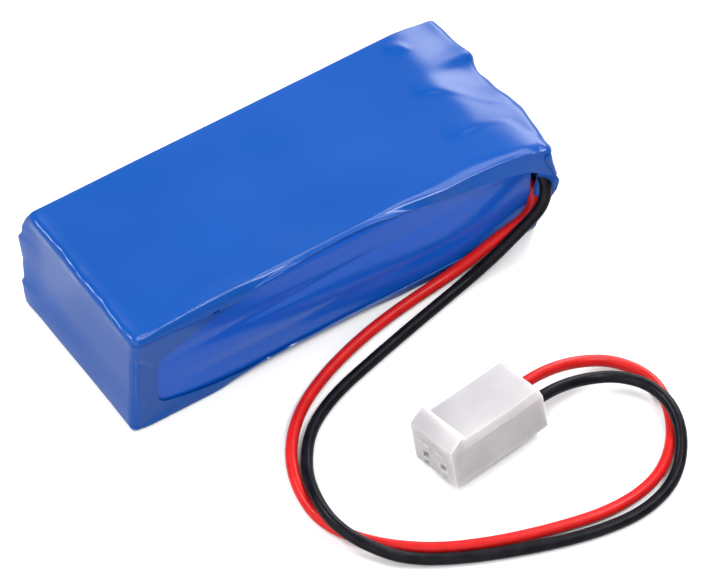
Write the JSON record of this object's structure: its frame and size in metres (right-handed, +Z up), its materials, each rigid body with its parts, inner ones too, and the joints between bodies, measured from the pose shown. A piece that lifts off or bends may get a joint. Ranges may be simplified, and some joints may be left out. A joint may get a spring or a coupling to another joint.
{
  "type": "battery pack",
  "caption": "Shrink-wrapped pack of flat pouch cells with a protection board at one end and a red and a black lead that end in a white latching plug.",
  "frame": {"origin": "middle of the pack's flat underside, on the surface that it rests on", "axes": "+X along the pack to the end where the leads come out, +Y away from the side where they come out, +Z up through the pack's thickness"},
  "size_m": [0.0704, 0.0803, 0.0204],
  "materials": {
    "sleeve_film": "glossy shrink film",
    "inner_film": "glossy shrink film",
    "pouch_laminate": "satin coated foil laminate",
    "adhesive_foam": "matte double-sided tape",
    "seal_film": "translucent polypropylene",
    "tab_aluminium": "bright rolled",
    "tab_nickel": "rolled nickel",
    "fibre_board": "matte pressed fibre",
    "board_laminate": "solder mask over glass laminate",
    "chip_case": "moulded epoxy",
    "chip_ceramic": "matte",
    "solder": "bright tin solder",
    "tinned_copper": "tinned strands",
    "contact_brass": "tin over phosphor bronze",
    "plug_nylon": "translucent natural nylon",
    "lead_red_pvc": "semi-gloss insulation",
    "lead_black_pvc": "semi-gloss insulation"
  },
  "bodies": {
    "root": {"adhesive_pad_lower": "adhesive_foam", "adhesive_pad_upper": "adhesive_foam", "board_cover": "fibre_board", "capacitors": "chip_ceramic", "cell_lower": "pouch_laminate", "cell_middle": "pouch_laminate", "cell_upper": "pouch_laminate", "charge_switch": "chip_case", "connector_housing": "plug_nylon", "contact_black": "contact_brass", "contact_red": "contact_brass", "crimped_strands_black": "tinned_copper", "crimped_strands_red": "tinned_copper", "discharge_switch": "chip_case", "end_plate": "fibre_board", "inner_sleeve": "inner_film", "lead_black": "lead_black_pvc", "lead_red": "lead_red_pvc", "outer_sleeve": "sleeve_film", "protection_board": "board_laminate", "protection_chip": "chip_case", "resistors": "chip_case", "sense_resistors": "chip_case", "slotted_plate": "fibre_board", "solder_black": "solder", "solder_red": "solder", "strands_black": "tinned_copper", "strands_red": "tinned_copper", "tab_lower_negative": "tab_nickel", "tab_lower_positive": "tab_aluminium", "tab_middle_negative": "tab_nickel", "tab_middle_positive": "tab_aluminium", "tab_seal_lower_negative": "seal_film", "tab_seal_lower_positive": "seal_film", "tab_seal_middle_negative": "seal_film", "tab_seal_middle_positive": "seal_film", "tab_seal_upper_negative": "seal_film", "tab_seal_upper_positive": "seal_film", "tab_upper_negative": "tab_nickel", "tab_upper_positive": "tab_aluminium", "weld_plate_first_join": "tab_nickel", "weld_plate_negative": "tab_nickel", "weld_plate_positive": "tab_nickel", "weld_plate_second_join": "tab_nickel"}
  },
  "joints": []
}
